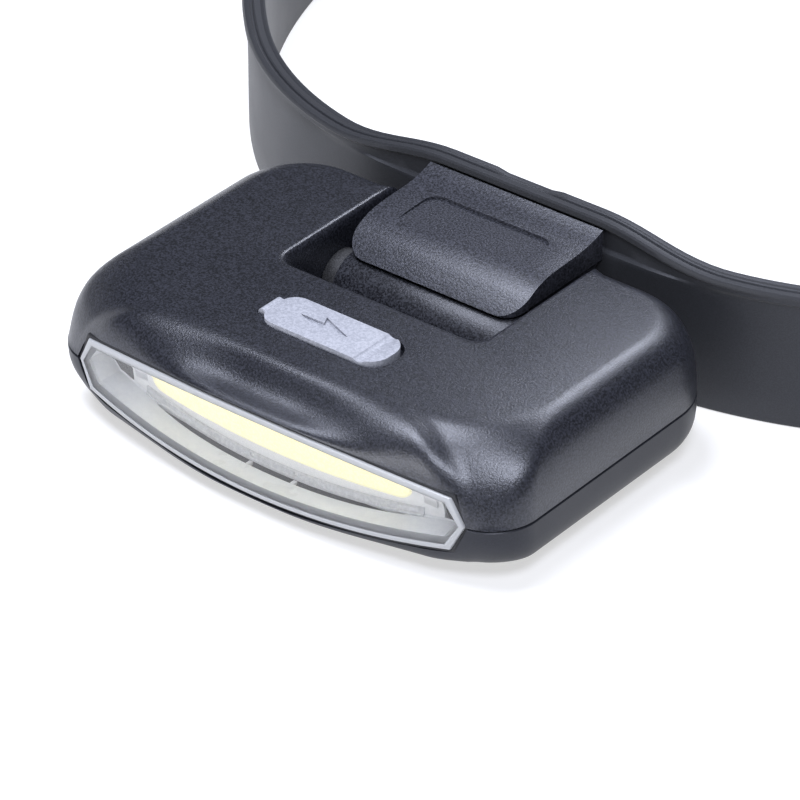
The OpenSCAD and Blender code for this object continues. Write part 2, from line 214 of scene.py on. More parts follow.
def round_edges(obj, width, angle=40.0, segments=2):
    """Small round on every edge sharper than the angle."""
    modifier = obj.modifiers.new("round", "BEVEL")
    modifier.width = width * MM
    modifier.segments = segments
    modifier.limit_method = "ANGLE"
    modifier.angle_limit = math.radians(angle)
    modifier.use_clamp_overlap = True
    modifier.miter_outer = "MITER_ARC"
    bpy.context.view_layer.update()
    apply_modifiers(obj)


def arc(cx, cy, r, a0, a1, n, skip=0):
    """Points of an arc, by angle in degrees."""
    angles = [math.radians(a0 + (a1 - a0) * k / n) for k in range(skip, n + 1)]
    return [(cx + r * math.cos(a), cy + r * math.sin(a)) for a in angles]


def round_rect(x0, x1, y0, y1, r, n=8):
    """Rectangle with round corners, counter-clockwise."""
    return (arc(x1 - r, y1 - r, r, 0, 90, n) + arc(x0 + r, y1 - r, r, 90, 180, n)
            + arc(x0 + r, y0 + r, r, 180, 270, n) + arc(x1 - r, y0 + r, r, 270, 360, n))


def prism(name, outline, z0, z1, axis="z"):
    """Plain cutter or block with a constant outline along an axis."""
    turn = {"x": lambda u, v, w: (w, u, v),
            "y": lambda u, v, w: (u, w, v),
            "z": lambda u, v, w: (u, v, w)}[axis]
    rings = [[turn(u, v, w) for u, v in outline] for w in (z0, z1)]
    verts, faces = loft(rings)
    return make(name, verts, faces, None)


def curve_at(points, t):
    """Smooth curve through control points, t from 0 to 1 (Catmull-Rom)."""
    last = len(points) - 1
    k = min(int(t * last), last - 1)
    u = t * last - k
    p = [points[max(0, min(last, k + d))] for d in (-1, 0, 1, 2)]
    return tuple(0.5 * (2 * b + (c - a) * u + (2 * a - 5 * b + 4 * c - d) * u * u
                        + (3 * b - a - 3 * c + d) * u ** 3) for a, b, c, d in zip(*p))


def smooth_step(t):
    t = max(0.0, min(1.0, t))
    return t * t * (3 - 2 * t)


def mix(a, b, t):
    return a + (b - a) * t

# ---------------------------------------------------------------- casing


def casing_plan(side, front, bow, front_r, rear, rear_r, pocket=None):
    """Outline of the casing seen from above, the same number of points for every set of sizes.
    The pocket is its half width, its front and the radius of its corners."""
    centre = front + bow
    half = math.degrees(math.asin((side - front_r) / (bow - front_r)))
    corner_y = centre - (bow - front_r) * math.cos(math.radians(half))
    right = arc(0, centre, bow, 270, 270 + half, 32, 1)
    right += arc(side - front_r, corner_y, front_r, 270 + half, 360, 16, 1)
    right += [(side, mix(corner_y, rear - rear_r, k / 8)) for k in range(1, 8)]
    right += arc(side - rear_r, rear - rear_r, rear_r, 0, 90, 16)
    if pocket:
        pocket_half, pocket_front, pocket_r = pocket
        right += [(mix(side - rear_r, pocket_half, k / 5), rear) for k in range(1, 6)]
        right += [(pocket_half, mix(rear, pocket_front + pocket_r, k / 8)) for k in range(1, 8)]
        right += arc(pocket_half - pocket_r, pocket_front + pocket_r, pocket_r, 0, -90, 8)
        right += [((pocket_half - pocket_r) * (1 - k / 6), pocket_front) for k in range(1, 6)]
        middle = [(0, pocket_front)]
    else:
        right += [((side - rear_r) * (1 - k / 5), rear) for k in range(1, 5)]
        middle = [(0, rear)]
    left = [(-x, y) for x, y in reversed(right)]
    return [(0, front)] + right + middle + left


SIDE_EDGE, BROW, LENS_END, CORNER, REAR_EDGE, POCKET = range(6)


def edge_kind(pocket):
    """Two kinds of edge and the share of the second, for each point of the outline."""
    right = [(BROW, LENS_END, smooth_step((k - 5) / 21)) for k in range(1, 26)]
    right += [(LENS_END, CORNER, smooth_step((k - 26) / 9)) for k in range(26, 33)]
    right += [(LENS_END, CORNER, smooth_step((k + 6) / 9)) for k in range(1, 3)]
    right += [(CORNER, SIDE_EDGE, smooth_step((k - 4) / 12)) for k in range(3, 17)]
    right += [(SIDE_EDGE, SIDE_EDGE, 0)] * 7
    right += [(SIDE_EDGE, REAR_EDGE, smooth_step(k / 16)) for k in range(17)]
    if pocket:
        right += [(REAR_EDGE, REAR_EDGE, 0)] * 4 + [(REAR_EDGE, POCKET, 0.5)]
        right += [(POCKET, POCKET, 0)] * (7 + 9 + 5)
        middle = [(POCKET, POCKET, 0)]
    else:
        right += [(REAR_EDGE, REAR_EDGE, 0)] * 4
        middle = [(REAR_EDGE, REAR_EDGE, 0)]
    return [(BROW, BROW, 0)] + right + middle + list(reversed(right))


# Edge profiles of the upper half, from the parting line to the flat top: share of the inset, and
# height for a top of 9 mm
UPPER_PROFILES = {
    SIDE_EDGE: [(0, 0), (.01, 1.2), (.02, 2.5), (.05, 3.8), (.10, 4.9), (.17, 5.9), (.27, 6.8),
                (.40, 7.6), (.54, 8.2), (.70, 8.65), (.86, 8.92), (1, 9)],
    BROW: [(0, 0), (0, 1.8), (0, 3.8), (.007, 5.3), (.04, 5.68), (.12, 5.86), (.255, 6.03),
           (.39, 6.3), (.51, 6.8), (.615, 7.5), (.70, 8.15), (.78, 8.62), (.87, 8.88), (1, 9)],
    LENS_END: [(0, 0), (0, 2.2), (.02, 3.4), (.05, 4.4), (.09, 5.4), (.15, 6.4), (.23, 7.25),
               (.34, 7.95), (.47, 8.42), (.61, 8.72), (.75, 8.88), (.88, 8.97), (1, 9)],
    CORNER: [(0, 0), (.03, .9), (.07, 1.9), (.12, 2.9), (.18, 3.8), (.25, 4.7), (.34, 5.6),
             (.44, 6.5), (.56, 7.4), (.69, 8.15), (.84, 8.75), (1, 9)],
    REAR_EDGE: [(0, 0), (.02, 1.2), (.05, 2.5), (.08, 3.9), (.13, 5.2), (.22, 6.6), (.38, 7.8),
                (.60, 8.6), (.82, 8.93), (1, 9)],
    POCKET: [(0, 0), (0, 2.0), (0, 4.0), (0, 5.8), (0, 7.2), (.05, 7.9), (.20, 8.5), (.45, 8.86),
             (.74, 8.98), (1, 9)]}
# The same for the lower half, for a bottom at -6.5 mm
UNDER_SIDE = [(0, 0), (0, -1.2), (.01, -2.4), (.05, -3.4), (.14, -4.3), (.28, -5.1), (.46, -5.75),
              (.68, -6.25), (.85, -6.44), (1, -6.5)]
LOWER_PROFILES = {
    SIDE_EDGE: UNDER_SIDE,
    BROW: [(0, 0), (0, -.9), (0, -1.9), (0, -2.9), (0, -3.9), (0, -4.9), (.01, -5.6), (.05, -6.15),
           (.3, -6.45), (1, -6.5)],
    LENS_END: [(0, 0), (0, -.9), (0, -1.8), (.01, -2.8), (.03, -3.7), (.07, -4.5), (.15, -5.3),
               (.3, -5.95), (.6, -6.38), (1, -6.5)],
    CORNER: [(0, 0), (.01, -.9), (.03, -1.7), (.07, -2.5), (.13, -3.3), (.23, -4.2), (.37, -5.05),
             (.56, -5.8), (.78, -6.33), (1, -6.5)],
    REAR_EDGE: UNDER_SIDE}


def shell_rings(outer, inner, profiles, kinds, scale, count):
    """Rings from the outer outline at the parting line to the inner outline on the flat face."""
    rings = []
    for j in range(count + 1):
        ring = []
        for (x0, y0), (x1, y1), (first, second, weight) in zip(outer, inner, kinds):
            a, z = curve_at(profiles[first], j / count)
            if weight:
                b, w = curve_at(profiles[second], j / count)
                a, z = mix(a, b, weight), mix(z, w, weight)
            ring.append((mix(x0, x1, a), mix(y0, y1, a), z * scale))
        rings.append(ring)
    return rings


def seam_ring(ring, z):
    """First ring of a shell, drawn back to leave the fine groove of the parting line."""
    middle = (FRONT + REAR) / 2
    drawn = []
    for x, y, _ in ring:
        if abs(x) > SIDE * 0.9:
            x -= math.copysign(SEAM_INSET, x)
        else:
            y -= math.copysign(SEAM_INSET, y - middle)
        drawn.append((x, y, z))
    return drawn


def half_solid(name, rings, sign, inset):
    """Solid of the upper (1) or lower (-1) half. The outside starts at the parting line with its
    groove; an inset solid is a cutter and runs 1 mm past that line."""
    start = sign * PARTING_GAP if inset == 0 else -sign
    rings[0] = [(x, y, start) for x, y, _ in rings[0]]
    if inset == 0:
        rings.insert(1, [(x, y, start + sign * SEAM_RISE) for x, y, _ in rings[0]])
        rings[0] = seam_ring(rings[0], start)
    verts, faces = loft(rings)
    return make(name, verts, faces, None)


def outer_plan(inset, pocket=None):
    return casing_plan(SIDE - inset, FRONT + inset, BOW - inset, FRONT_R - inset, REAR - inset,
                       REAR_R - inset, pocket)


def upper_solid(name, inset, top, count):
    outer = outer_plan(inset, (POCKET_HALF + inset, POCKET_FRONT - inset, POCKET_R + inset))
    in2 = inset * 0.6
    inner = casing_plan(SIDE - 5.0 - in2, FRONT + 7.0 + in2, BOW - 7 - in2, 11 - in2,
                        REAR - 3.4 - in2, 7.4 - in2,
                        (POCKET_HALF + 0.9 + in2, POCKET_FRONT - 1.7 - in2, 2.7 + in2))
    rings = shell_rings(outer, inner, UPPER_PROFILES, edge_kind(True), top / 9, count)
    return half_solid(name, rings, 1, inset)


def lower_solid(name, inset, bottom, count):
    in2 = inset * 0.6
    inner = casing_plan(SIDE - 3.2 - in2, FRONT + 3.4 + in2, 90 - in2, 5.9 - in2,
                        REAR - 3.2 - in2, 7.0 - in2)
    rings = shell_rings(outer_plan(inset), inner, LOWER_PROFILES, edge_kind(False), bottom / -6.5, count)
    return half_solid(name, rings, -1, inset)


def lens_outline(grow, n=26, grow_low=None):
    """Six-sided outline of the lens seen from the front, counter-clockwise from the left end."""
    half, corner = LENS_HALF + grow * 1.1, LENS_CORNER + grow
    high, low = lens_high[2] + grow, lens_low[2] - (grow if grow_low is None else grow_low)
    xs = [corner * k / n for k in range(-n, n + 1)]
    below = [(x, low + SAG_LOW * (x / corner) ** 2) for x in xs]
    above = [(x, high - SAG_HIGH * (x / corner) ** 2) for x in reversed(xs)]
    return [(-half, 0)] + below + [(half, 0)] + above


def pocket_cutter(name, z0, z1):
    points = [(-POCKET_HALF, 1), (-POCKET_HALF, POCKET_FRONT + POCKET_R)]
    points += arc(-POCKET_HALF + POCKET_R, POCKET_FRONT + POCKET_R, POCKET_R, 180, 270, 8, 1)
    points += arc(POCKET_HALF - POCKET_R, POCKET_FRONT + POCKET_R, POCKET_R, 270, 360, 8)
    points.append((POCKET_HALF, 1))
    return prism(name, points, z0, z1)


def rod(name, p, q, r, n=40):
    """Closed cylinder between two points in millimetres."""
    p, q = Vector(p), Vector(q)
    along = (q - p).normalized()
    side = along.orthogonal().normalized()
    other = along.cross(side)
    rings = [[tuple(c + r * (math.cos(a) * side + math.sin(a) * other))
              for a in (2 * math.pi * k / n for k in range(n))] for c in (p, q)]
    verts, faces = loft(rings)
    return make(name, verts, faces, None)


def finish_piece(obj, body, material, node, angle=32.0):
    """Gives a piece its material and its body, and lets it stand for a CAD node."""
    obj.data.materials.clear()
    obj.data.materials.append(material)
    tidy(obj, angle)
    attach(obj, body)
    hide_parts(node)


def upper_shell(material):
    shell = upper_solid("upper_casing", 0, TOP, 26)
    tidy(shell)
    cavity = upper_solid("cavity", WALL, TOP - WALL, 10)
    posts = [rod("post", (x, y, -2), (x, y, TOP - 0.5), POST_R, 24) for x, y in SCREWS]
    cut(cavity, posts)
    seat_plan = round_rect(COVER_X0 - 0.15, COVER_X1 + 0.55, COVER_Y0 - 0.2, COVER_Y1 + 0.15, 2.8)
    seat = prism("seat", seat_plan, SEAT_Z, TOP + 3)
    well = prism("well", round_rect(-5.2, 5.2, PORT_Y - 2.3, PORT_Y + 2.3, 2), 3, TOP + 3)
    groove = rod("groove", (hinge_x, PORT_Y - 1.8, hinge_z), (hinge_x, PORT_Y + 1.8, hinge_z), 0.7, 24)
    window = prism("window", lens_outline(LENS_GAP), FRONT - 3, OPENING_Y, "y")
    bores = [rod("bore", (s * 13, tilt_y, tilt_z), (s * 17.9, tilt_y, tilt_z), 1.3, 24) for s in (-1, 1)]
    pilots = [rod("pilot", (x, y, -2), (x, y, 4.4), 1.0, 16) for x, y in SCREWS]
    cut(shell, [cavity, seat, well, groove, window] + bores + pilots)
    finish_piece(shell, "lamp", material, "upper_shell")


def lower_shell(material):
    shell = lower_solid("lower_casing", 0, BOTTOM, 22)
    tidy(shell)
    cavity = lower_solid("cavity", WALL, BOTTOM + WALL, 10)
    posts = [rod("post", (x, y, 2), (x, y, BOTTOM + 0.5), POST_R, 24) for x, y in SCREWS]
    half, front = POCKET_HALF + WALL, POCKET_FRONT - WALL
    floor = prism("floor", [(-half, 2), (-half, front), (half, front), (half, 2)], BOTTOM - 1, 3)
    cut(cavity, posts + [floor])
    window = prism("window", lens_outline(LENS_GAP), FRONT - 3, OPENING_Y, "y")
    tools = [cavity, pocket_cutter("pocket", POCKET_FLOOR, 3), window,
             rod("button_hole", (0, PORT_Y, BOTTOM - 2), (0, PORT_Y, 0), KEY_HOLE_R, 64),
             rod("ring_seat", (0, PORT_Y, BOTTOM - 2), (0, PORT_Y, BOTTOM + 0.5), BEZEL_R, 64),
             rod("light_hole", (LIGHT_X, PORT_Y, BOTTOM - 2), (LIGHT_X, PORT_Y, 0), 1.0, 24)]
    for x, y in SCREWS:
        tools.append(rod("screw_hole", (x, y, BOTTOM - 2), (x, y, 1), 1.15, 16))
        tools.append(rod("head_seat", (x, y, BOTTOM - 2), (x, y, SCREW_SEAT_Z), 2.0, 28))
    cut(shell, tools)
    finish_piece(shell, "lamp", material, "lower_shell")

# ---------------------------------------------------------------- lens and light


def bow_y(x, depth=0.0):
    """Y of the bowed front face, at a depth behind it."""
    return BOW_CENTRE - math.sqrt((BOW - depth) ** 2 - x * x)


def lens(clear, frost):
    """Clear window with a frosted rim, a rounded front edge and a step behind the rim."""
    steps = [(0.0, LENS_THICK), (0.0, 0.2), (-0.06, 0.06), (-0.2, 0.0), (-0.5, -0.01), (-0.6, 0.03),
             (-0.95, 0.06)]
    n = 26
    rings = [[(x, bow_y(x, depth), z) for x, z in lens_outline(grow, n)] for grow, depth in steps]
    back = [[(x, bow_y(x, LENS_THICK), z) for x, z in lens_outline(-1.15, n)]]
    verts, faces = loft(rings, cap=False)
    count = len(rings[0])
    kinds = [1] * (5 * count) + [0] * (len(faces) - 5 * count)

    def window(ring, base, depth, flip):
        """Strips between the lower and the upper run of a ring, which share their x values."""
        rows = 6
        grid = {}
        for k in range(2 * n + 1):
            low, high = ring[1 + k], ring[count - 1 - k]
            for j in range(rows + 1):
                if j == 0:
                    grid[k, j] = base + 1 + k
                elif j == rows:
                    grid[k, j] = base + count - 1 - k
                else:
                    grid[k, j] = len(verts)
                    verts.append((low[0], bow_y(low[0], depth), mix(low[2], high[2], j / rows)))
        for k in range(2 * n):
            for j in range(rows):
                quad = (grid[k, j], grid[k + 1, j], grid[k + 1, j + 1], grid[k, j + 1])
                faces.append(quad[::-1] if flip else quad)
                kinds.append(0)
        for tip, k in ((base, 0), (base + 2 * n + 2, 2 * n)):
            for j in range(rows):
                faces.append((tip, grid[k, j], grid[k, j + 1]))
                kinds.append(0)

    window(rings[-1], (len(rings) - 1) * count, steps[-1][1], False)
    back_base = len(verts)
    verts.extend(back[0])
    for k in range(count):
        m = (k + 1) % count
        faces.append((k, back_base + k, back_base + m, m))
        kinds.append(1)
    window(back[0], back_base, LENS_THICK, True)
    obj = make("lens_window", verts, faces, "lamp", (clear, frost))
    for face, kind in zip(obj.data.polygons, kinds):
        face.material_index = kind
    tidy(obj, 25)
    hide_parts("lens")


def lens_seal(material):
    """Ring in the gap around the lens, between two depths behind the bowed face."""
    outer, inner, front, back, edge = LENS_GAP - 0.01, 0.01, 0.32, 1.5, 0.08
    rings = []
    for grow, depth in ((outer, back), (outer, front + edge), (outer - edge, front),
                        (inner + edge, front), (inner, front + edge), (inner, back)):
        rings.append([(x, bow_y(x, depth), z) for x, z in lens_outline(grow)])
    rings.append(rings[0])
    verts, faces = loft(rings, cap=False)
    seal = make("lens_seal", verts, faces, "lamp", (material,))
    tidy(seal, 40)
    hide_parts("lens_gasket")


def bowed_bar(name, half, section, n=72):
    """Bar that follows the bowed front face; its section gives (depth, z) points at each x."""
    xs = [half * math.sin(math.pi * k / n) for k in range(-n // 2, n // 2 + 1)]
    verts, faces = loft([[(x, bow_y(x, depth), z) for depth, z in section(x)] for x in xs])
    return make(name, verts, faces, None)


def bowed_slot(x0, x1, d0, d1, z0, z1):
    """Short cutter between two depths behind the bowed front face."""
    xs = [mix(x0, x1, k / 2) for k in range(3)]
    outline = [(x, bow_y(x, d0)) for x in xs] + [(x, bow_y(x, d1)) for x in reversed(xs)]
    return prism("slot", outline, z0, z1)


def reflector(material, chrome, pane):
    """Tray behind the lens: floor with a slit along the board, a lip above it and two snap tabs."""
    walls = [(-0.15, -0.15, 1.24), (-0.95, -0.95, 1.26), (-1.1, -1.0, 2.0),
             (-1.2, -1.05, BOARD_DEPTH - 0.2), (-1.3, -1.2, BOARD_DEPTH - 0.02),
             (-0.5, -0.4, BOARD_DEPTH - 0.02), (-0.15, -0.15, 1.24)]
    rings = []
    for grow, low, depth in walls:
        rings.append([(x, bow_y(x, depth), z) for x, z in lens_outline(grow, grow_low=low)])
    verts, faces = loft(rings, cap=False)
    tray = make("reflector_tray", verts, faces, "lamp", (material,))
    tidy(tray, 30)
    floor_low = lens_low[2] + 1.05
    slit_half = 19.5

    def floor_z(x):
        return floor_low + SAG_LOW * (x / LENS_CORNER) ** 2

    def slit(x):
        front, back = BOARD_DEPTH - 0.3 - 0.72 * (1 - (x / slit_half) ** 4), BOARD_DEPTH + 0.4
        top = floor_z(x) + 0.1
        return [(front, BOTTOM), (back, BOTTOM), (back, top), (front, top)]

    cut(tray, [bowed_bar("slit", slit_half, slit)])
    tidy(tray, 30)
    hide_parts("reflector")

    def ledge(x):
        z, deep = floor_z(x) + 0.12, BOARD_DEPTH - 0.02
        return [(deep, z), (deep - .34, z), (deep - .36, z + .3), (deep - .2, z + .42),
                (deep - .2, z + 1.0), (deep - .1, z + 1.04), (deep - .1, z + 1.14), (deep, z + 1.14)]

    lip = bowed_bar("clear_ledge", 20.0, ledge)
    cut(lip, [bowed_slot(x - 0.3, x + 0.3, BOARD_DEPTH - 0.6, BOARD_DEPTH + 0.1,
                         floor_low + 0.6, floor_low + 1.1) for x in (-3.15, 3.15)])
    lip.data.materials.append(pane)
    tidy(lip, 25)
    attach(lip, "lamp")
    for side in (-1, 1):
        x = side * 3.2
        front, back = bow_y(x, BOARD_DEPTH - 1.1), bow_y(x, BOARD_DEPTH - 0.3)
        tab = prism("tab", round_rect(x - 0.27, x + 0.27, front, back, 0.1, 3),
                    floor_low - 0.35, floor_low + 0.1)
        tab.name = "snap_tab_" + ("left" if side < 0 else "right")
        round_edges(tab, 0.08)
        tab.data.materials.append(chrome)
        tidy(tab, 40)
        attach(tab, "lamp")


def led_strip(material):
    """Phosphor strip with round ends, gently crowned, on a low dam."""
    low, high, end = strip_low[2] + 0.02, strip_high[2] - 0.05, 1.5

    def section(x):
        past = max(0, abs(x) - strip_half + end)
        inset = end - math.sqrt(max(0, end * end - past * past))
        z0, z1 = low + 0.45 * (x / strip_half) ** 2 + inset, high - inset
        front = BOARD_DEPTH - 0.5
        return [(BOARD_DEPTH, z0), (front + .22, z0), (front + .08, z0 + .14), (front, z0 + .45),
                (front - .02, (z0 + z1) / 2), (front, z1 - .45), (front + .08, z1 - .14),
                (front + .22, z1), (BOARD_DEPTH, z1)]

    strip = bowed_bar("phosphor_strip", strip_half, section, 96)
    finish_piece(strip, "lamp", material, "led_strip", 50)


def led_board(material, copper):
    """White board that follows the bow of the lens, with two solder pads."""
    z0, z1 = board_low[2], board_high[2]
    front, back = BOARD_DEPTH, BOARD_DEPTH + 1
    pad_x = 20.8

    def board_section(x):
        return [(front, z0), (front, z1), (back, z1), (back, z0)]

    def pad_section(x):
        return [(front + .02, -1.4), (front - .08, -1.4), (front - .08, 1.4), (front + .02, 1.4)]

    board = bowed_bar("light_board", board_high[0], board_section)
    round_edges(board, 0.12)
    finish_piece(board, "lamp", material, "led_board")
    for side in (-1, 1):
        pad = bowed_bar("pad", 1.0, pad_section, 4)
        pad.name = "solder_pad_" + ("left" if side < 0 else "right")
        pad.data.transform(Matrix.Translation((side * pad_x * MM, (bow_y(pad_x) - FRONT) * MM, 0)))
        round_edges(pad, 0.03, 50, 1)
        pad.data.materials.append(copper)
        tidy(pad, 40)
        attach(pad, "lamp")

# ---------------------------------------------------------------- port cover, bracket, button


def lathe(name, profile, centre, axis="z", n=64):
    """Turned piece: profile of (radius, height) about an axis through the centre."""
    rings = []
    for r, h in profile:
        ring = []
        for k in range(n):
            a = 2 * math.pi * k / n
            u, v = r * math.cos(a), r * math.sin(a)
            p = {"z": (u, v, h), "y": (u, h, v), "x": (h, u, v)}[axis]
            ring.append(tuple(c + d for c, d in zip(centre, p)))
        rings.append(ring)
    verts, faces = loft(rings)
    return make(name, verts, faces, None)


def usb_cover(material):
    """Rubber cover: hinge tab, slab with a finger groove before its lip, bolt sign, plug below."""
    top = port_high[2] - 0.05
    tip_r, root_r = 2.7, 2.0
    outline = (arc(COVER_X1 - tip_r, COVER_Y1 - tip_r, tip_r, 0, 90, 12)
               + arc(COVER_X0 + root_r, COVER_Y1 - root_r, root_r, 90, 180, 10)
               + arc(COVER_X0 + root_r, COVER_Y0 + root_r, root_r, 180, 270, 10)
               + arc(COVER_X1 - tip_r, COVER_Y0 + tip_r, tip_r, 270, 360, 12))
    slab = prism("port_cover", outline, SEAT_Z + 0.05, top)
    tab = prism("tab", round_rect(hinge_x - 0.2, COVER_X0 + 1.5, PORT_Y - 1.7, PORT_Y + 1.7, 0.6, 5),
                hinge_z - 0.3, top - 0.1)
    bead = rod("bead", (hinge_x, PORT_Y - 1.6, hinge_z), (hinge_x, PORT_Y + 1.6, hinge_z), 0.58, 28)
    plug = prism("plug", round_rect(-3.7, 3.7, PORT_Y - 1, PORT_Y + 1, 0.9), port_low[2], SEAT_Z + 0.4)
    cut(slab, [tab, bead, plug], "UNION")
    fold_x, fold_z = COVER_X1 - 2.3, top + 0.85
    groove = rod("groove", (fold_x, COVER_Y0 - 1, fold_z), (fold_x, COVER_Y1 + 1, fold_z), 1.12, 72)
    cut(slab, [groove])
    round_edges(slab, 0.2, 50, 3)
    sign = [(3.7, -.3), (-.8, 1.5), (-.3, .4), (-3.7, .3), (.8, -1.5), (.3, -.4)]
    bolt = prism("bolt", [(x - 0.8, PORT_Y + 0.1 + y) for x, y in sign], top - 0.32, top + 1)
    cut(slab, [bolt])
    finish_piece(slab, "usb_cover", material, "usb_cover", 42)


def nose_profile():
    """Side view of the bracket cover: ramp at the band, shelf, and a nose over the knuckle."""
    back, front = nose_high[1], nose_low[1]
    top = [(back, 10.9), (back - .7, 10.62), (back - 1.7, 10.3), (back - 3.2, 10.0), (back - 5.4, 9.82),
           (back - 8, 9.74), (back - 10, 9.6), (back - 11.8, 9.22), (back - 13.6, 8.45),
           (back - 15.1, 7.45), (back - 16.1, 6.72)]
    upper = [curve_at(top, k / 48) for k in range(49)]
    return upper + [(front, 6.34), (front + 0.3, 6.22), (front + 1.4, 6.5), (front + 3, 7.0), (back, 7.0)]


def bracket_cover(material):
    half, nose_r = nose_high[0], 3.1
    cover = prism("bracket_nose", nose_profile(), -half, half, "x")
    front = nose_low[1]
    plan = [(half, nose_high[1] + 1), (-half, nose_high[1] + 1)]
    plan += arc(nose_r - half, front + nose_r, nose_r, 180, 270, 14)
    plan += arc(half - nose_r, front + nose_r, nose_r, 270, 360, 14)
    limit = prism("limit", plan, 0, 20)
    cut(cover, [limit], "INTERSECT")
    round_edges(cover, 0.42, 38, 4)
    inset = round_rect(-8.9, 8.9, front + 1.5, -7.2, 1.7, 8)
    rings = [[(x, y, 9.46 + (y + 14) * 0.008) for x, y in inset], [(x, y, 12) for x, y in inset]]
    verts, faces = loft(rings)
    cut(cover, [make("inset", verts, faces, None)])
    pilots = [rod("pilot", (x, y, 5), (x, y, 9.1), 1.0, 16) for x, y in BRACKET_SCREWS]
    cut(cover, pilots)
    finish_piece(cover, "headband", material, "bracket_cover", 30)


def bracket_arm(material):
    """Knuckle, arm, neck through the band and the plate that the band holds."""
    barrel = [(3.9, -12.3), (4.3, -12.2), (4.5, -11.9), (4.5, 11.9), (4.3, 12.2), (3.9, 12.3)]
    knuckle = lathe("bracket_knuckle", barrel, (0, tilt_y, tilt_z), "x", 96)
    band_face = nose_high[1]
    side_view = [(-17, -2), (-14.5, -3.3), (band_face, -3.3), (band_face, 6.95), (-14.5, 6.95), (-17, 5)]
    block = prism("block", side_view, -12, 12, "x")
    round_edges(block, 0.4, 40, 2)
    neck = prism("neck", round_rect(-9.8, 9.8, -2.8, 4.8, 0.8, 4), band_face - 0.6, -1.5, "y")
    plate = prism("plate", round_rect(-15, 15, -6, 7.4, 1.5, 6), -2, -1, "y")
    cut(knuckle, [block, neck, plate], "UNION")
    tools = [rod("bore", (-20, tilt_y, tilt_z), (20, tilt_y, tilt_z), 1.27, 32)]
    for x, y in BRACKET_SCREWS:
        tools += [rod("hole", (x, y, -6), (x, y, 9), 1.1, 16), rod("seat", (x, y, -6), (x, y, -2), 1.95, 28)]
    cut(knuckle, tools)
    finish_piece(knuckle, "headband", material, "bracket_arm", 35)


def power_button(rubber, ring_material):
    """Soft key with a dished face and a fine raised circle, in a turned bezel."""
    face = button_low[2]
    top = button_high[2]
    profile = [(0.05, face + .32), (1.6, face + .3), (1.7, face + .16), (2.1, face + .16),
               (2.2, face + .26), (3.4, face + .16), (4.3, face + .02), (4.7, face + .04),
               (4.93, face + .22), (5, face + .5), (5, top - .46), (5.8, top - .45), (5.8, top),
               (0.05, top)]
    key = lathe("power_key", profile, (0, PORT_Y, 0))
    finish_piece(key, "power_button", rubber, "power_button", 40)
    low, high = ring_low[2], ring_high[2]
    profile = [(KEY_HOLE_R, high), (KEY_HOLE_R, low + .2), (5.3, low + .04), (5.6, low), (6.2, low + .02),
               (6.75, low + .2), (6.95, low + .42), (6.95, high), (KEY_HOLE_R, high)]
    bezel = lathe("button_bezel", profile, (0, PORT_Y, 0))
    bm = bmesh.new()
    bm.from_mesh(bezel.data)
    bmesh.ops.delete(bm, geom=[f for f in bm.faces if len(f.verts) > 4], context="FACES")
    bm.to_mesh(bezel.data)
    bm.free()
    finish_piece(bezel, "lamp", ring_material, "button_ring", 40)


def light_pipe(material):
    """Domed end and shank of the charge light's pipe."""
    profile = [(0.05, BOTTOM + .02), (.55, BOTTOM + .03), (.85, BOTTOM + .12), (.9, BOTTOM + .3),
               (.9, -2.6), (0.05, -2.6)]
    pipe = lathe("charge_light_pipe", profile, (LIGHT_X, PORT_Y, 0), n=28)
    finish_piece(pipe, "lamp", material, "charge_light", 40)


def screw(name, x, y, head_z, shank_z, body, material):
    """Pan-head screw with a cross recess and a threaded shank, pointing up."""
    low = head_z - 1.3
    profile = [(0.05, low + .12), (1.0, low + .1), (1.55, low + .28), (1.8, low + .62), (1.8, head_z),
               (.95, head_z)]
    z = head_z + 0.3
    while z < shank_z - 0.6:
        profile += [(.94, z), (.76, z + .22), (.94, z + .4)]
        z += 0.44
    profile += [(.6, shank_z - .2), (.1, shank_z)]
    obj = lathe(name, profile, (x, y, 0), n=28)
    arms = []
    for w, d in ((.22, .95), (.95, .22)):
        outline = [(x - w, y - d), (x + w, y - d), (x + w, y + d), (x - w, y + d)]
        arms.append(prism("cross", outline, low - 1, low + .75))
    cut(obj, arms)
    obj.data.materials.append(material)
    tidy(obj, 35)
    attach(obj, body)
    return obj

# ---------------------------------------------------------------- headband


def half_path(lap):
    """Inner face of one side of the band: points with their outward directions, front to back."""
    step = 1.6
    points = [((FLAT_HALF * k / 12, 0.0), (0.0, -1.0)) for k in range(12)]
    cx, cy = FLAT_HALF, BENDS[0][0]
    for n, (r, h0, h1) in enumerate(BENDS):
        if n:
            a, gap = math.radians(h0), BENDS[n - 1][0] - r
            cx, cy = cx + gap * math.sin(a), cy - gap * math.cos(a)
        if n == len(BENDS) - 1:
            a, shift = math.radians(h0), lap / math.sin(math.radians(h0))
            cx, cy = cx + shift * math.cos(a), cy + shift * math.sin(a)
        count = max(6, int(r * math.radians(h1 - h0) / step))
        for k in range(count + 1 if n == len(BENDS) - 1 else count):
            a = math.radians(h0 + (h1 - h0) * k / count)
            points.append(((cx + r * math.sin(a), cy - r * math.cos(a)), (math.sin(a), -math.cos(a))))
    return points


def band_path():
    """Whole strip from its inner end, round the front, to its outer end."""
    right = half_path(0)
    left = [((-x, y), (-u, v)) for (x, y), (u, v) in half_path(LAP)]
    start, end = right[-1], left[-1]
    first = [((mix(-TAIL, start[0][0], k / 30), start[0][1]), (0.0, 1.0)) for k in range(30)]
    last = [((mix(end[0][0], TAIL, k / 30), end[0][1]), (0.0, 1.0)) for k in range(1, 31)]
    return first + right[::-1] + left[1:] + last


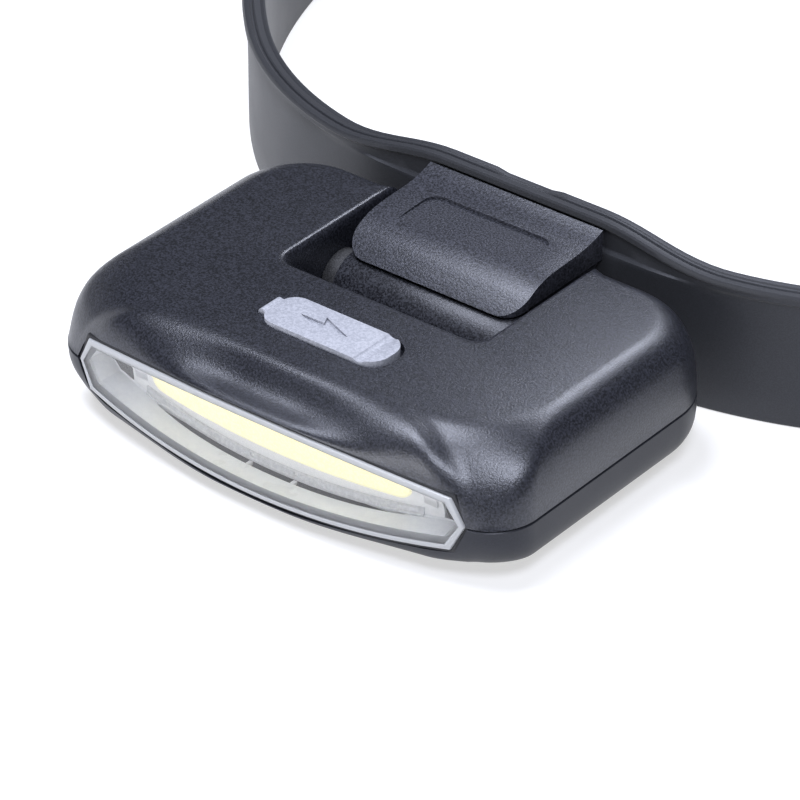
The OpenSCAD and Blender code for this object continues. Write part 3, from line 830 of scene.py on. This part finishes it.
def band_section(across, front, end):
    """Section of the band as (distance from the inner face, height). The rim is a bead along
    the top; at the bracket the band is thicker, with a ledge and a higher, set-back rim."""
    near = smooth_step((34 - across) / 20) if front else 0.0
    rise = HUMP * (1 - smooth_step((across - 11) / 17)) if front else 0.0
    notch = 0.28 * (1 - smooth_step((across - 3.3) / 0.8)) if front else 0.0
    top = HIGH + rise
    web = mix(WEB_T - 0.05, 2.95, near)
    wall = mix(2.92, 2.2, near)
    lip = mix(2.98, 2.62, near)
    ledge = mix(8.25, 8.02, near)
    points = [(0.0, LOW + .5), (0.12, LOW + .14), (.45, LOW), (web - .5, LOW), (web - .14, LOW + .13),
              (web, LOW + .5), (web, -4), (web - .02, 0), (web, 4), (web, 7.2), (web, 7.75),
              (mix(web + .1, web - .06, near), 7.9), (mix(wall - .12, wall + .1, near), ledge - .02),
              (wall, ledge + .12), (wall, mix(top - .9, top - 1.9, near)),
              (mix(wall, wall + .04, near), top - mix(.75, 1.35, near)), (lip, top - mix(.6, .95, near)),
              (lip - .05, top - .36), (lip - .22, top - .12), (lip - .5, top - .02), (lip - .85, top - .05),
              (lip - 1.0, top - .27), (lip - 1.2, top - .3), (lip - 1.34, top - .09 - notch * .4),
              (lip - 1.5, top - .02 - notch), (lip - 1.66, top - .09 - notch), (.72, top - .2 - notch),
              (.5, top - .06 - notch), (.34, top - .03 - notch), (.12, top - .14 - notch),
              (.0, top - .5 - notch), (0.0, 5), (0.0, 0)]
    if end < 1:
        points = [(o, BAND_MIDDLE + (z - BAND_MIDDLE) * end) for o, z in points]
    return points


def headband(material):
    path = band_path()
    lengths = [0.0]
    for (p, _), (q, _) in zip(path, path[1:]):
        lengths.append(lengths[-1] + math.dist(p, q))
    rings = []
    for ((x, y), (u, v)), s in zip(path, lengths):
        t = min(s, lengths[-1] - s) / 7.0
        end = 1.0 if t >= 1 else 0.45 + 0.55 * math.sqrt(max(0.0, 1 - (1 - t) ** 2))
        rings.append([(x + u * o, y + v * o, z) for o, z in band_section(abs(x), y < 60, end)])
    verts, faces = loft(rings)
    band = make("silicone_band", verts, faces, None)
    tidy(band, 28)
    tools = [prism("window", round_rect(-10, 10, -3, 5, 0.9, 4), -4, -1.9, "y"),
             prism("slot", round_rect(-15.2, 15.2, -6.2, 7.6, 1.6, 6), -2.05, -0.95, "y")]
    free_end, outside = BACK_Y + LAP, BACK_Y + 2 * LAP
    for x in (k * PEG_PITCH for k in range(-2, 3)):
        tools.append(rod("hole", (x, free_end - .15, BAND_MIDDLE), (x, outside, BAND_MIDDLE), 2.1, 40))
    for x in (-PEG_PITCH, PEG_PITCH):
        tools.append(rod("hole", (x, BACK_Y - 1, BAND_MIDDLE), (x, free_end - .05, BAND_MIDDLE), 1.95, 40))
    cut(band, tools)
    finish_piece(band, "headband", material, "headband", 30)


BACK_Y = half_path(0)[-1][0][1]


def band_pegs(material):
    """Two mushroom pegs through the overlap, from a foot inside to a head outside."""
    outer = BACK_Y + LAP + WEB_T
    profile = [(.05, BACK_Y - .7), (2.8, BACK_Y - .7), (3.1, BACK_Y - .58), (3.2, BACK_Y - .35),
               (3.2, BACK_Y - .02), (1.9, BACK_Y), (1.9, outer + .12), (3.1, outer + .16),
               (3.3, outer + .36), (3.15, outer + .62), (2.6, outer + .84), (1.6, outer + .95),
               (.7, outer + .98), (.05, outer + .98)]
    for name, x in (("band_peg_left", -PEG_PITCH), ("band_peg_right", PEG_PITCH)):
        peg = lathe(name, profile, (x, 0, BAND_MIDDLE), "y")
        finish_piece(peg, "headband", material, "band_pegs", 35)


# ---------------------------------------------------------------- materials


MATERIALS = {}


def new_material(name):
    """New material, kept in MATERIALS under its name; gives its nodes, its links and its shader."""
    material = bpy.data.materials.new(name)
    material.use_nodes = True
    MATERIALS[name] = material
    nodes = material.node_tree.nodes
    return nodes, material.node_tree.links, nodes["Principled BSDF"]


def node(nodes, kind, **values):
    """New shader node; keyword values set its inputs by name, with spaces for underscores."""
    made = nodes.new(kind)
    for key, value in values.items():
        made.inputs[key.replace("_", " ")].default_value = value
    return made


def grained(name, dark, light, rough, grain, depth, rough_spread=0.06, specular=0.5, patch=60.0,
            sheen=0.0, crown=0.0):
    """Moulded surface: fine grain in the relief and the colour, and slow patches of wear. Grain and
    depth are in millimetres; crown swells the shading away from the casing's middle."""
    nodes, links, shader = new_material(name)
    place = nodes.new("ShaderNodeTexCoord")
    fine = node(nodes, "ShaderNodeTexNoise", Scale=1000 / grain, Detail=3.0, Roughness=0.62)
    slow = node(nodes, "ShaderNodeTexNoise", Scale=patch, Detail=4.0, Roughness=0.6)
    for texture in (fine, slow):
        links.new(place.outputs["Object"], texture.inputs["Vector"])
    colour = nodes.new("ShaderNodeMix")
    colour.data_type = "RGBA"
    colour.inputs["A"].default_value = (*dark, 1)
    colour.inputs["B"].default_value = (*light, 1)
    spread = node(nodes, "ShaderNodeMapRange")
    spread.inputs["From Min"].default_value = 0.40
    spread.inputs["From Max"].default_value = 0.62
    links.new(fine.outputs["Fac"], spread.inputs["Value"])
    links.new(spread.outputs["Result"], colour.inputs["Factor"])
    links.new(colour.outputs["Result"], shader.inputs["Base Color"])
    wear = node(nodes, "ShaderNodeMapRange")
    wear.inputs["From Min"].default_value = 0.3
    wear.inputs["From Max"].default_value = 0.7
    wear.inputs["To Min"].default_value = rough - rough_spread
    wear.inputs["To Max"].default_value = rough + rough_spread
    links.new(slow.outputs["Fac"], wear.inputs["Value"])
    links.new(wear.outputs["Result"], shader.inputs["Roughness"])
    bump = node(nodes, "ShaderNodeBump", Strength=0.9, Distance=depth * MM)
    links.new(fine.outputs["Fac"], bump.inputs["Height"])
    links.new(bump.outputs["Normal"], shader.inputs["Normal"])
    if crown:
        away = nodes.new("ShaderNodeVectorMath")
        away.operation = "SUBTRACT"
        away.inputs[1].default_value = (0, (FRONT + REAR) / 2 * MM, 0)
        square = nodes.new("ShaderNodeVectorMath")
        square.operation = "DOT_PRODUCT"
        fall = nodes.new("ShaderNodeMath")
        fall.operation = "MULTIPLY"
        fall.inputs[1].default_value = -crown
        swell = node(nodes, "ShaderNodeBump", Strength=1.0, Distance=1.0)
        links.new(place.outputs["Object"], away.inputs[0])
        links.new(away.outputs["Vector"], square.inputs[0])
        links.new(away.outputs["Vector"], square.inputs[1])
        links.new(square.outputs["Value"], fall.inputs[0])
        links.new(fall.outputs["Value"], swell.inputs["Height"])
        links.new(swell.outputs["Normal"], bump.inputs["Normal"])
    shader.inputs["Specular IOR Level"].default_value = specular
    shader.inputs["Specular Tint"].default_value = (.90, .92, 1.0, 1)
    shader.inputs["Sheen Weight"].default_value = sheen
    shader.inputs["Sheen Roughness"].default_value = 0.5
    return shader


def metal(name, colour, rough, scratch=(40, 40, 2500)):
    """Metal with fine drawn lines."""
    nodes, links, shader = new_material(name)
    place = nodes.new("ShaderNodeTexCoord")
    stretch = nodes.new("ShaderNodeMapping")
    stretch.inputs["Scale"].default_value = scratch
    lines = node(nodes, "ShaderNodeTexNoise", Scale=1.0, Detail=4.0)
    links.new(place.outputs["Object"], stretch.inputs["Vector"])
    links.new(stretch.outputs["Vector"], lines.inputs["Vector"])
    ramp = nodes.new("ShaderNodeMix")
    ramp.data_type = "RGBA"
    ramp.inputs["A"].default_value = (*[c * 0.82 for c in colour], 1)
    ramp.inputs["B"].default_value = (*colour, 1)
    links.new(lines.outputs["Fac"], ramp.inputs["Factor"])
    links.new(ramp.outputs["Result"], shader.inputs["Base Color"])
    spread = node(nodes, "ShaderNodeMapRange")
    spread.inputs["To Min"].default_value = rough * 0.75
    spread.inputs["To Max"].default_value = rough * 1.3
    links.new(lines.outputs["Fac"], spread.inputs["Value"])
    links.new(spread.outputs["Result"], shader.inputs["Roughness"])
    shader.inputs["Metallic"].default_value = 1.0
    return shader


def window_plastic(name, tint, rough, grain, depth, weight):
    """Clear or frosted moulding with a very faint ripple."""
    nodes, links, shader = new_material(name)
    place = nodes.new("ShaderNodeTexCoord")
    ripple = node(nodes, "ShaderNodeTexNoise", Scale=1000 / grain, Detail=2.0)
    links.new(place.outputs["Object"], ripple.inputs["Vector"])
    bump = node(nodes, "ShaderNodeBump", Strength=0.5, Distance=depth * MM)
    links.new(ripple.outputs["Fac"], bump.inputs["Height"])
    links.new(bump.outputs["Normal"], shader.inputs["Normal"])
    colour = nodes.new("ShaderNodeMix")
    colour.data_type = "RGBA"
    colour.inputs["A"].default_value = (*[c * 0.96 for c in tint], 1)
    colour.inputs["B"].default_value = (*tint, 1)
    links.new(ripple.outputs["Fac"], colour.inputs["Factor"])
    links.new(colour.outputs["Result"], shader.inputs["Base Color"])
    shader.inputs["Roughness"].default_value = rough
    shader.inputs["IOR"].default_value = 1.49
    shader.inputs["Transmission Weight"].default_value = weight
    return shader


# name, colours in the hollows and on top of the grain, roughness, grain and its depth in mm, then
# the spread of the roughness, the specular level and the scale of the patches
grained("casing_grained", (.003, .0033, .005), (.024, .0255, .035), .33, .24, .036, .04, .66, crown=1.4)
grained("casing_smooth", (.011, .012, .016), (.016, .017, .023), .42, .2, .008, .05, .34)
grained("bracket_grained", (.007, .0075, .010), (.044, .046, .060), .36, .25, .04, .04, .6)
grained("bracket_black", (.005, .005, .007), (.040, .042, .052), .38, .25, .04, .05, .5)
grained("band_silicone", (.014, .015, .018), (.021, .022, .027), .5, .16, .008, .05, .4, 40, sheen=.05)
grained("cover_grey", (.25, .26, .30), (.34, .35, .40), .5, .3, .014, .06, .4, 120)
grained("seal_black", (.006, .006, .007), (.014, .014, .015), .6, .3, .01)
grained("reflector_grey", (.86, .88, .92), (.91, .93, .96), .3, .5, .003, .05, .5)
grained("ledge_grey", (.62, .63, .66), (.74, .75, .78), .25, .5, .01, .05, .5)
grained("snap_tab", (.80, .81, .84), (.9, .91, .94), .2, .5, .003)
grained("board_white", (.88, .89, .90), (.93, .93, .94), .38, .4, .004)
grained("chip_black", (.015, .015, .017), (.04, .04, .043), .5, .2, .01)
grained("board_green", (.01, .10, .045), (.02, .17, .07), .35, .8, .008)
grained("foam_black", (.02, .02, .022), (.06, .06, .065), .9, .5, .12)
grained("lead_red", (.42, .02, .015), (.58, .04, .03), .4, .5, .004)
grained("lead_black", (.012, .012, .012), (.03, .03, .03), .4, .5, .004)
grained("plug_ivory", (.68, .65, .55), (.82, .79, .70), .45, .5, .006)
grained("button_rubber", (.020, .020, .022), (.05, .05, .055), .6, .2, .015)
grained("ring_grey", (.06, .06, .068), (.10, .10, .11), .32, .2, .006)
grained("washer_black", (.012, .012, .013), (.03, .03, .032), .6, .3, .02)
grained("peg_black", (.014, .014, .016), (.032, .033, .037), .4, .2, .01)
# Painted glow: a faint emission brightens the phosphor strip, far weaker than a lit LED
glow = grained("phosphor", (.98, .90, .50), (1.0, .93, .60), .45, .35, .01, .05, .4)
glow.inputs["Emission Color"].default_value = (1.0, .96, .62, 1)
glow.inputs["Emission Strength"].default_value = 0.36

# name, tint, roughness, ripple and its depth in mm, transmission
window_plastic("light_pipe", (.80, .92, .84), .35, .4, .01, .6)
window_plastic("lens_frost", (.42, .43, .45), .36, .25, .03, .2)
clear = window_plastic("lens_clear", (1.0, 1.0, 1.0), .02, 6.0, .004, 1.0)
clear.inputs["Specular IOR Level"].default_value = 0.12

# name, colour, roughness, and how fine the drawn lines are along x, y and z
metal("solder", (.78, .78, .8), .3, (900, 900, 900))
metal("aluminium_bare", (.72, .73, .75), .35)
metal("screw_steel", (.42, .42, .44), .3, (600, 600, 600))
metal("pin_steel", (.62, .62, .64), .25, (2500, 40, 40))
metal("socket_steel", (.66, .67, .69), .28)
metal("cell_foil", (.68, .69, .72), .4, (60, 400, 400))

# Every CAD node that stays on show takes the procedural material of its slot
for part in frame["record"]["subparts"]:
    shown = frame["nodes"][part["node"]]
    shown.data.materials.clear()
    shown.data.materials.append(MATERIALS[part["material_slot"]])

# ---------------------------------------------------------------- the pieces

upper_shell(MATERIALS["casing_grained"])
lower_shell(MATERIALS["casing_smooth"])
lens(MATERIALS["lens_clear"], MATERIALS["lens_frost"])
lens_seal(MATERIALS["seal_black"])
reflector(MATERIALS["reflector_grey"], MATERIALS["snap_tab"], MATERIALS["ledge_grey"])
led_board(MATERIALS["board_white"], MATERIALS["solder"])
led_strip(MATERIALS["phosphor"])
usb_cover(MATERIALS["cover_grey"])
bracket_cover(MATERIALS["bracket_grained"])
bracket_arm(MATERIALS["bracket_black"])
power_button(MATERIALS["button_rubber"], MATERIALS["ring_grey"])
light_pipe(MATERIALS["light_pipe"])
headband(MATERIALS["band_silicone"])
band_pegs(MATERIALS["peg_black"])
case = [screw(f"case_screw_{k + 1}", x, y, SCREW_SEAT_Z, 4.0, "lamp", MATERIALS["screw_steel"])
        for k, (x, y) in enumerate(SCREWS)]
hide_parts("case_screws")
held = [screw(f"bracket_screw_{k + 1}", x, y, -2.0, 9.0, "headband", MATERIALS["screw_steel"])
        for k, (x, y) in enumerate(BRACKET_SCREWS)]
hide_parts("bracket_screws")

# ---------------------------------------------------------------- floor, light and camera

FLOOR_HALF = 30
ground = cad_box[0][2]
floor_mesh = bpy.data.meshes.new("floor")
floor_mesh.from_pydata([(-FLOOR_HALF, -FLOOR_HALF, ground), (FLOOR_HALF, -FLOOR_HALF, ground),
                        (FLOOR_HALF, FLOOR_HALF, ground), (-FLOOR_HALF, FLOOR_HALF, ground)], [],
                       [(0, 1, 2, 3)])
floor = bpy.data.objects.new("floor", floor_mesh)
bpy.context.scene.collection.objects.link(floor)
pale = new_material("floor_pale")[2]
pale.inputs["Base Color"].default_value = (.45, .45, .46, 1)
pale.inputs["Roughness"].default_value = 0.9
# Lifts the floor to near white, as in the photograph
pale.inputs["Emission Color"].default_value = (1, 1, 1, 1)
pale.inputs["Emission Strength"].default_value = 0.58
floor_mesh.materials.append(MATERIALS["floor_pale"])

COOL = (.88, .91, 1.0)
world = bpy.data.worlds.new("studio")
bpy.context.scene.world = world
world.use_nodes = True
world.node_tree.nodes["Background"].inputs["Color"].default_value = (*COOL, 1)
world.node_tree.nodes["Background"].inputs["Strength"].default_value = 0.14


def direction(azimuth, elevation):
    """Unit vector towards a place around the object, in degrees; azimuth 0 stands in front, at -Y."""
    a, e = math.radians(azimuth), math.radians(elevation)
    return Vector((math.sin(a) * math.cos(e), -math.cos(a) * math.cos(e), math.sin(e)))


def softbox(name, azimuth, elevation, distance, width, height, power, colour=COOL):
    """Rectangular lamp that faces the casing."""
    target = Vector((0, -.02, 0))
    back = direction(azimuth, elevation)
    data = bpy.data.lights.new(name, "AREA")
    data.shape = "RECTANGLE"
    data.size, data.size_y, data.energy, data.color = width, height, power, colour
    obj = bpy.data.objects.new(name, data)
    bpy.context.scene.collection.objects.link(obj)
    obj.location = target + distance * back
    obj.rotation_euler = back.to_track_quat("Z", "Y").to_euler()


softbox("overhead", -50, 74, 0.85, .42, .34, 8.0)
softbox("corner_key", 46, 52, 0.8, .2, .2, 4.4)
softbox("rear_rim", -174, 46, 1.0, .4, .2, 5.4)
softbox("front_low", -8, 9, 0.9, .6, .16, 3.2, (1, 1, 1))

CAMERA_AZIMUTH, CAMERA_ELEVATION = 38.63, 32.75
CAMERA_DISTANCE = 0.5655
FOCAL_LENGTH, SENSOR = 225.9, 36.0
aim = Vector((.0063, FRONT * MM + .0189, 0))
back = direction(CAMERA_AZIMUTH, CAMERA_ELEVATION)
camera_data = bpy.data.cameras.new("camera")
camera_data.lens, camera_data.sensor_width = FOCAL_LENGTH, SENSOR
camera = bpy.data.objects.new("camera", camera_data)
bpy.context.scene.collection.objects.link(camera)
camera.location = aim + CAMERA_DISTANCE * back
camera.rotation_euler = back.to_track_quat("Z", "Y").to_euler()
bpy.context.scene.camera = camera
bpy.context.scene.view_settings.view_transform = "Standard"

bpy.context.view_layer.update()
